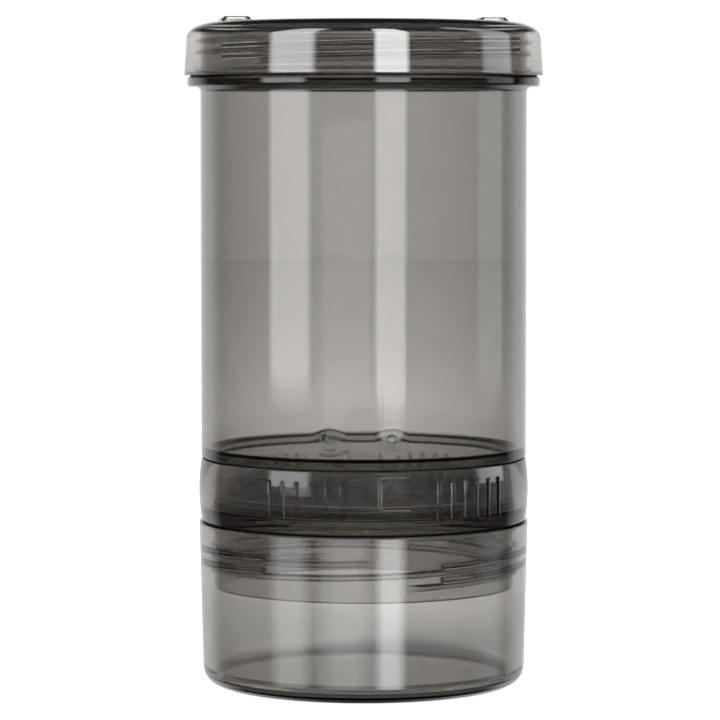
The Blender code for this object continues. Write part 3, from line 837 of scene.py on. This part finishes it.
def lug(azimuth):
    """A drop: round below and pointed above."""
    middle = (RAIL_LOW + RAIL_HIGH) / 2
    drop = LUG_WIDTH / 2
    outline = arc((0, middle - LUG_HEIGHT / 2 + drop), drop, drop, HALF_TURN - LUG_PAST_HALF,
                  FULL_TURN + LUG_PAST_HALF, LUG_STEPS)
    outline.append((0, middle + LUG_HEIGHT / 2))
    crest = SPIGOT_RADIUS + LUG_STAND
    return pad(outline, azimuth + LUG_AZIMUTH,
               ((SPIGOT_RADIUS - SINK, 0), (crest - LUG_BEVEL, 0), (crest, LUG_BEVEL)))


def bow_path(shift):
    """A padlock's bow. Shifted aside it hangs on one leg."""
    foot = SIGN_LOW + SIGN_HEIGHT - SIGN_BAR
    bow = foot + SIGN_BAR + BOW_LEG
    free_end = bow - BOW_LEG / 2 if shift else foot
    path = [(shift + BOW_RADIUS, foot)]
    path += arc((shift, bow), BOW_RADIUS, BOW_RADIUS, 0, HALF_TURN, BOW_STEPS)
    path.append((shift - BOW_RADIUS, free_end))
    return path


def swell(azimuth):
    """The wall is a little thicker round a sign, a soft lens that bends what lies behind."""
    layers = [(1, -SINK)]
    for ring in range(SWELL_RINGS):
        reach = 1 - ring / SWELL_RINGS
        layers.append((reach, SWELL_HEIGHT * (1 - reach ** 2) ** 2 - SWELL_SINK))
    return [
        [around(CHAMBER_RADIUS + stand,
                azimuth + SWELL_RADIUS * reach * math.cos(turn) / CHAMBER_RADIUS,
                SWELL_MIDDLE + SWELL_RADIUS * reach * math.sin(turn))
         for turn in (FULL_TURN * side / SWELL_SIDES for side in range(SWELL_SIDES))]
        for reach, stand in layers
    ]


def make_chamber():
    flange_low = FLANGE_TOP - FLANGE_THICKNESS
    corners = [
        (CHAMBER_RADIUS, RIM_TOP, EDGE),
        (CHAMBER_RADIUS, FLANGE_TOP, EDGE / 2),
        (FLANGE_RADIUS, FLANGE_TOP, FLANGE_ROUND),
        (FLANGE_RADIUS, flange_low, FLANGE_ROUND),
        (CHAMBER_RADIUS + FLANGE_FILLET, flange_low, 0),
        (CHAMBER_RADIUS, flange_low - FLANGE_FILLET, FILLET_ROUND),
        (CHAMBER_RADIUS, CHAMBER_SEAT, EDGE),
        (SPIGOT_RADIUS, CHAMBER_SEAT, EDGE / 2),
        (SPIGOT_RADIUS, SPIGOT_END, EDGE),
        (SPIGOT_BORE, SPIGOT_END, EDGE),
        (SPIGOT_BORE, CHAMBER_SEAT + SHOULDER - SHOULDER_SLOPE, EDGE),
        (CHAMBER_BORE, CHAMBER_SEAT + SHOULDER, EDGE),
        (CHAMBER_BORE, RIM_TOP, EDGE),
    ]
    chamber = turned("chamber_shell", softened(corners, True), True)
    combine(chamber, male_ridges(CHAMBER_RADIUS, LID_THREAD_DEPTH, LID_PITCH,
                                 LID_THREAD_AZIMUTH, LID_THREAD_HEIGHT, LID_THREAD_SWEEP))
    combine(chamber, [lug(0), lug(HALF_TURN)])
    combine(chamber, [swell(0), swell(-TWIST)])
    low, high = CHAMBER_RADIUS - SINK, CHAMBER_RADIUS + SIGN_STAND
    body = rounded_box(SIGN_LOW, SIGN_WIDTH, SIGN_HEIGHT, SIGN_CORNER)
    window = rounded_box(SIGN_LOW + SIGN_BAR, SIGN_WIDTH - 2 * SIGN_BAR,
                         SIGN_HEIGHT - 2 * SIGN_BAR, WINDOW_CORNER)
    combine(chamber, [pad(body, azimuth, ((low, 0), (high - SIGN_BEVEL, 0), (high, SIGN_BEVEL)))
                      for azimuth in (0, -TWIST)])
    combine(chamber, [strip(bow_path(0), SIGN_BAR, 0, low, high),
                      strip(bow_path(-BOW_SHIFT), SIGN_BAR, -TWIST, low, high)])
    combine(chamber, [pad(window, azimuth, ((CHAMBER_RADIUS + WINDOW_FLOOR, 0), (high + SINK, 0)))
                      for azimuth in (0, -TWIST)], "DIFFERENCE")
    return settled(chamber, chamber_plastic)


chamber_shell = make_chamber()
dress(chamber_shell, "insect_chamber", "chamber")

# %% [markdown]
# ## The lid
#
# The lid has a drafted skirt, a wide elliptic shoulder and a slightly domed top with two
# low hollow blocks. The shoulder bends the studio's lights into the long curved highlights
# of the photograph. The segments of inner thread hang in the skirt like those of the cup.

# %% Lid
LID_RADIUS = 49.4 * MM
LID_LIP = 0.1 * MM
LID_LIP_LOW = LID_SEAT + 0.5 * MM
LID_LIP_HIGH = LID_SEAT + 0.8 * MM
LID_TOP = LID_SEAT + 14.9 * MM
LID_SIDE_RADIUS = 48.75 * MM
LID_SHOULDER_WIDTH = 8.8 * MM
LID_SHOULDER_DROP = 4.2 * MM
LID_SHOULDER_STEPS = 18
LID_DOME = 0.2 * MM
LID_CEILING = LID_TOP - 2.3 * MM
LID_CORNER_LOW = RIM_TOP + 0.4 * MM
LID_THREAD_WALL = CHAMBER_RADIUS + LID_THREAD_DEPTH + FIT_GAP
LID_SEGMENT_AZIMUTH = math.radians(-61.5)
BLOCK_INNER = 31.5 * MM
BLOCK_LENGTH = 8.5 * MM
BLOCK_WIDTH = 10 * MM


def block_layers(azimuth, layers):
    """A box on the lid's top at layers of (height, slope, corner), turned to its azimuth."""
    rings = []
    for height, slope, corner in layers:
        outline = rounded_box(BLOCK_INNER + slope, BLOCK_WIDTH - 2 * slope,
                              BLOCK_LENGTH - 2 * slope, corner)
        rings.append([
            (reach * math.sin(azimuth) + side * math.cos(azimuth),
             side * math.sin(azimuth) - reach * math.cos(azimuth), height)
            for side, reach in outline
        ])
    return rings


def grip_block(azimuth):
    """A low block with sloping sides and softened edges."""
    return block_layers(azimuth, ((LID_TOP - LID_DOME - SINK, 0, 0.5 * MM),
                                  (LID_TOP + 0.1 * MM, 0, 0.5 * MM),
                                  (LID_TOP + 1.05 * MM, 0.8 * MM, 0.5 * MM),
                                  (LID_TOP + 1.2 * MM, 1.0 * MM, 0.4 * MM)))


def block_pocket(azimuth):
    """The hollow under a block, which keeps its walls thin and clear."""
    return block_layers(azimuth, ((LID_CEILING - SINK, 0.8 * MM, 0.5 * MM),
                                  (LID_TOP + 0.1 * MM, 0.8 * MM, 0.5 * MM),
                                  (LID_TOP + 0.75 * MM, 1.5 * MM, 0.4 * MM)))


def make_lid():
    shoulder_centre = (LID_SIDE_RADIUS - LID_SHOULDER_WIDTH,
                       LID_TOP - LID_DOME - LID_SHOULDER_DROP)
    shoulder = [(radius, height, 0) for radius, height in
                arc(shoulder_centre, LID_SHOULDER_WIDTH, LID_SHOULDER_DROP, QUARTER_TURN, 0,
                    LID_SHOULDER_STEPS)]
    corners = [
        (0, LID_TOP, 0),
        (shoulder_centre[0] * 0.5, LID_TOP - LID_DOME * 0.25, 0),
        *shoulder,
        (LID_RADIUS, LID_LIP_HIGH, 0),
        (LID_RADIUS + LID_LIP, LID_LIP_LOW, 0),
        (LID_RADIUS + LID_LIP, LID_SEAT, 0.2 * MM),
        (LID_THREAD_WALL, LID_SEAT, EDGE),
        (LID_THREAD_WALL, LID_CORNER_LOW, 0.5 * MM),
        (CHAMBER_RADIUS + FIT_GAP, LID_CORNER_LOW, 0.3 * MM),
        (CHAMBER_RADIUS + FIT_GAP, LID_CEILING, 0.2 * MM),
        (0, LID_CEILING, 0),
    ]
    lid = turned("lid_shell", softened(corners, False), False)
    combine(lid, female_segments(LID_THREAD_WALL, LID_THREAD_DEPTH, LID_PITCH,
                                 LID_THREAD_AZIMUTH, LID_THREAD_HEIGHT - LID_PITCH,
                                 LID_SEGMENT_AZIMUTH))
    combine(lid, [grip_block(QUARTER_TURN), grip_block(-QUARTER_TURN)])
    combine(lid, [block_pocket(QUARTER_TURN), block_pocket(-QUARTER_TURN)], "DIFFERENCE")
    return settled(lid, lid_plastic)


lid_shell = make_lid()
dress(lid_shell, "lid", "lid")

# %% [markdown]
# ## The sieve and the seals
#
# The sieve lies loose on the collar's floor, under the spigot, with its holes in rings
# round the middle. The seals are plain rings: one round the neck, one between spigot and
# sieve, and one under the lid. A thin matt black skin of painted shade lies in each seam
# between two mouldings, draws its shadow line, and moves with the lower one.

# %% Sieve disc and seal rings
SIEVE_RINGS = 5
HOLE_RADIUS = 1.8 * MM
HOLE_SPACING = 7.1 * MM
HOLE_SIDES = 18
HOLES_IN_FIRST_RING = 6
RING_ROUND = 0.25 * MM
SKIN_FOOT = 0.02 * MM
SKIN_ROOM = 0.03 * MM


def make_sieve():
    low, high = low_of("sieve_disc"), high_of("sieve_disc")
    corners = [(0, high, 0), (SPIGOT_RADIUS, high, EDGE), (SPIGOT_RADIUS, low, EDGE), (0, low, 0)]
    sieve = turned("sieve_plate", softened(corners, False), False)
    centres = [Vector((0, 0, 0))]
    for ring in range(1, SIEVE_RINGS + 1):
        holes = HOLES_IN_FIRST_RING * ring
        centres += [around(HOLE_SPACING * ring, FULL_TURN * hole / holes, 0)
                    for hole in range(holes)]
    combine(sieve, [
        [[centre + Vector((HOLE_RADIUS * math.cos(turn), HOLE_RADIUS * math.sin(turn), height))
          for turn in (FULL_TURN * side / HOLE_SIDES for side in range(HOLE_SIDES))]
         for height in (low - SINK, high + SINK)]
        for centre in centres
    ], "DIFFERENCE")
    print("sieve holes", len(centres))
    return settled(sieve, sieve_plastic)


def make_ring(name, node, inner, silicone_finish):
    low, high = low_of(node), high_of(node)
    outer = radius_of(node)
    corners = [(outer, high, RING_ROUND), (outer, low, RING_ROUND),
               (inner, low, RING_ROUND), (inner, high, RING_ROUND)]
    return settled(turned(name, softened(corners, True), True), silicone_finish)


def painted_seam_shadow(name, height, inner, outer, body):
    """Painted shade: a matt black skin on top of a moulding that nearly fills the seam and stands
    for its shadow line.
    """
    low, high = height + SKIN_FOOT, height + SEAM_GAP - SKIN_ROOM
    corners = [(outer, high, 0), (outer, low, 0), (inner, low, 0), (inner, high, 0)]
    skin = settled(turned(name, softened(corners, True), True), seam_painted_shade)
    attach(skin, body)


dress(make_sieve(), "sieve_disc", "collar")
dress(make_ring("neck_seal", "cup_gasket", NECK_RADIUS + FIT_GAP, clear_seal),
      "cup_gasket", "cup_seal")
dress(make_ring("spigot_seal", "chamber_gasket", SPIGOT_BORE, smoky_seal),
      "chamber_gasket", "collar")
dress(make_ring("rim_seal", "lid_gasket", CHAMBER_BORE, smoky_seal),
      "lid_gasket", "lid_seal")
# Painted shade: a black skin in each seam stands for the seam's shadow line.
painted_seam_shadow("cup_seam_shadow", CUP_TOP, CUP_THREAD_WALL + EDGE, COLLAR_EDGE_RADIUS - EDGE,
          "cup")
painted_seam_shadow("collar_seam_shadow", COLLAR_TOP, COLLAR_BORE + EDGE, COLLAR_EDGE_RADIUS - EDGE,
          "collar")
painted_seam_shadow("flange_seam_shadow", FLANGE_TOP, CHAMBER_RADIUS + EDGE, FLANGE_RADIUS - FLANGE_ROUND,
          "chamber")

# %% [markdown]
# ## Floor and world
#
# Clear plastic shows its surroundings more than itself. Behind the shaker stands a white
# backdrop, and above it the room goes dark. That is what puts dark lines into ledges and
# threads. To the sides and in front the room is dark too, which only reflections see, and
# the white backdrop comes back as a bright rim where the round wall turns away. The paper
# lies a hair below the cup, because a ray that leaves the plastic needs to meet air first. The
# backdrop is lit harder than white, and only the camera sees it as plain white, so the
# dyed walls keep their contrast against the ledges. The floor glows by itself too, and like
# the backdrop it looks different to the camera and through the plastic: the camera sees an
# even glow, while through the plastic the glow carries a painted shade, dark close round
# the shaker and brighter further out.

# %% Floor and world
FLOOR_REACH = 3.0
AIR_GAP = 0.15 * MM
ROOM_DARK = 0.04
BACKDROP = 1.6
BACKDROP_SEEN = 1.02
BACKDROP_MIRRORED = 0.9
BACKDROP_SIDES = (0.5, 0.72)
CEILING = (0.12, 0.36)
FLOOR_SEEN = 0.54
# Painted shade in the floor's glow through the plastic: dark near the shaker, rising further out.
FLOOR_NEAR_PAINTED_SHADE = 0.14
FLOOR_PAINTED_SHADE_RISE = 0.67
FLOOR_PAINTED_SHADE_REACH = (0.1, 0.9)
FORWARD = -around(1, VIEW_AZIMUTH, 0)


def light_path(finish, name):
    return finish.node("ShaderNodeLightPath", output=name)


def make_floor():
    shape = bmesh.new()
    bmesh.ops.create_circle(shape, cap_ends=True, segments=64, radius=FLOOR_REACH)
    mesh = bpy.data.meshes.new("studio_floor")
    shape.to_mesh(mesh)
    shape.free()
    floor = new_object("studio_floor", mesh)
    floor.location.z = -AIR_GAP
    finish, shader = new_finish("pale_floor_painted_shade")
    where = finish.node("ShaderNodeTexCoord", output="Object")
    reach = finish.node("ShaderNodeVectorMath", {"operation": "LENGTH"}, {0: where},
                        output="Value")
    seen = light_path(finish, "Is Camera Ray")
    # Through the plastic the floor's glow is painted shade: low close to the shaker, brighter with
    # distance.
    painted_shade_glow = FLOOR_NEAR_PAINTED_SHADE + ramp(finish, reach, *FLOOR_PAINTED_SHADE_REACH) * FLOOR_PAINTED_SHADE_RISE
    glow = seen * FLOOR_SEEN + (1 - seen) * painted_shade_glow
    shader.inputs["Base Color"].default_value = (0.8, 0.8, 0.8, 1)
    shader.inputs["Roughness"].default_value = 0.8
    shader.inputs["Specular IOR Level"].default_value = 0.1
    finish.feed(shader.inputs["Emission Color"], finish.mix_colours(glow, (0, 0, 0), (1, 1, 1)))
    shader.inputs["Emission Strength"].default_value = BACKDROP
    mesh.materials.append(finish.owner)
    floor.visible_glossy = False
    return floor


def make_world():
    world = bpy.data.worlds.new("studio_world")
    bpy.context.scene.world = world
    finish = Finish(world)
    direction = finish.node("ShaderNodeTexCoord", output="Generated")
    height = finish.node("ShaderNodeSeparateXYZ", None, {0: direction}, output="Z")
    ahead = finish.node("ShaderNodeVectorMath", {"operation": "DOT_PRODUCT"},
                        {0: direction, 1: tuple(FORWARD)}, output="Value")
    below_ceiling = 1 - ramp(finish, height, *CEILING)
    seen = light_path(finish, "Is Camera Ray")
    through = light_path(finish, "Is Transmission Ray")
    backdrop = ramp(finish, ahead, *BACKDROP_SIDES) * below_ceiling
    white = (seen * BACKDROP_SEEN + (1 - seen)
             * (through * below_ceiling * BACKDROP + (1 - through) * backdrop * BACKDROP_MIRRORED))
    light = ROOM_DARK + white * (1 - ROOM_DARK)
    finish.feed(finish.tree.nodes["Background"].inputs["Strength"], light)
    finish.tree.nodes["Background"].inputs["Color"].default_value = (1, 1, 1, 1)


floor = make_floor()
make_world()
print("floor reaches", FLOOR_REACH, "m")

# %% [markdown]
# ## Lights
#
# The photograph's highlights say where its lights stood. On a round wall, a highlight at
# some angle from the view comes from a light at twice that angle, so each strip on the lid
# gives the place and the width of a softbox. The tall boxes light the lid, and the walls
# below it mirror dimmer ones. The barrel-shaped collar mirrors less than an upright wall,
# and the flared cup mirrors what stands lower, so each piece has its own set of boxes, kept
# to it by light linking. The lid's set lights the floor too. Every box fades towards its
# edges, as cloth in front of a lamp does. Real studio light wouldn't be split by piece, and
# seen from behind, the lid's roof mirrors the front boxes as hard white.

# %% Softboxes
BOX_DISTANCE = 1.2
LID_HEIGHTS = (0.08, 2.4)
TUBE_HEIGHTS = (-0.02, 0.5)
BARREL_HEIGHTS = (0.045, 0.5)
CUP_HEIGHTS = (-0.45, -0.09)
MIDDLE_HEIGHTS = (-0.02, 0.16)
SIDE_FADE = 0.14
CUP_SIDE_FADE = 0.3
FILL_SIDE_FADE = 0.35
END_FADE = 0.05
WHITE = (1, 1, 1)
COOL = (0.86, 0.93, 1)
TOP_LIGHT_SIZE = 1.6
TOP_LIGHT_POWER = 9
TOP_LIGHT_PLACE = (0, 0.5, 1.8)


def receivers(name, pieces):
    """A set of pieces that some lights are kept to."""
    collection = bpy.data.collections.new(name)
    for piece in pieces:
        collection.objects.link(piece)
    return collection


def softbox(name, azimuth, half_angle, heights, radiance, kept_to, colour=WHITE,
            side_fade=SIDE_FADE):
    """An upright rectangle of light, at an azimuth from the camera's."""
    low, high = heights
    width = 2 * BOX_DISTANCE * math.tan(math.radians(half_angle))
    data = bpy.data.lights.new(name, "AREA")
    data.shape = "RECTANGLE"
    data.size = width
    data.size_y = high - low
    data.energy = radiance * math.pi * width * (high - low)
    data.color = colour
    finish = Finish(data)
    across = finish.node("ShaderNodeNewGeometry", output="Parametric")
    side = finish.node("ShaderNodeSeparateXYZ", None, {0: across}, output="X")
    from_side = finish.node("ShaderNodeMath", {"operation": "MINIMUM"}, {0: side, 1: 1 - side})
    up = finish.node("ShaderNodeSeparateXYZ", None, {0: across}, output="Y")
    from_end = finish.node("ShaderNodeMath", {"operation": "MINIMUM"}, {0: up, 1: 1 - up})
    finish.feed(finish.tree.nodes["Emission"].inputs["Strength"],
                ramp(finish, from_side, 0, side_fade) * ramp(finish, from_end, 0, END_FADE))
    lamp = bpy.data.objects.new(name, data)
    lamp.location = around(BOX_DISTANCE, VIEW_AZIMUTH + math.radians(azimuth), (low + high) / 2)
    aim = Vector((0, 0, lamp.location.z)) - lamp.location
    lamp.rotation_euler = aim.to_track_quat("-Z", "Y").to_euler()
    lamp.visible_camera = False
    lamp.visible_transmission = False
    lamp.light_linking.receiver_collection = kept_to
    bpy.context.scene.collection.objects.link(lamp)


def make_lights():
    lid = receivers("lid_walls", [lid_shell, floor])
    tube = receivers("tube_walls", [chamber_shell])
    barrel = receivers("barrel_walls", [collar_shell])
    cup = receivers("cup_walls", [cup_shell])
    for name, azimuth, turned_low, half, on_lid, on_tube, on_barrel, on_cup, colour in (
            ("left_box", -46, -6.5, 17, 9.5, 4.6, 4.5, 3.0, WHITE),
            ("near_box", 17.5, 1, 12, 15, 5.0, 0.5, 7.2, WHITE),
            ("right_box", 94, 5, 15, 3.6, 1.1, 3.0, 0.5, COOL)):
        softbox(name, azimuth, half, LID_HEIGHTS, on_lid, lid, colour)
        azimuth += turned_low
        softbox(name + "_tube", azimuth, half, TUBE_HEIGHTS, on_tube, tube, colour)
        softbox(name + "_barrel", azimuth, half, BARREL_HEIGHTS, on_barrel, barrel, colour)
        softbox(name + "_cup", azimuth, half, CUP_HEIGHTS, on_cup, cup, colour, CUP_SIDE_FADE)
    softbox("middle_fill", -12, 19, MIDDLE_HEIGHTS, 1.0, tube)
    softbox("cup_fill", -12, 22, CUP_HEIGHTS, 2.6, cup, side_fade=FILL_SIDE_FADE)
    data = bpy.data.lights.new("top_light", "AREA")
    data.size = TOP_LIGHT_SIZE
    data.energy = TOP_LIGHT_POWER
    top = bpy.data.objects.new("top_light", data)
    top.location = TOP_LIGHT_PLACE
    top.rotation_euler = (Vector((0, 0, 0)) - top.location).to_track_quat("-Z", "Y").to_euler()
    top.visible_camera = False
    top.visible_transmission = False
    top.visible_glossy = False
    bpy.context.scene.collection.objects.link(top)


make_lights()

# %% [markdown]
# ## Light paths
#
# A ray that looks through the collar crosses four walls, eight surfaces, and is mirrored
# inside some of them. With the usual limits it would end in the plastic and leave black
# spots, so the limits are raised. The picture keeps plain colours, because a film-like
# curve would turn the white room grey.

# %% Light paths and colours
scene = bpy.context.scene
scene.cycles.max_bounces = 40
scene.cycles.transmission_bounces = 36
scene.cycles.glossy_bounces = 12
scene.cycles.diffuse_bounces = 4
scene.cycles.transparent_max_bounces = 16
scene.cycles.sample_clamp_indirect = 5
scene.view_settings.view_transform = "Standard"
print("bounces", scene.cycles.max_bounces)
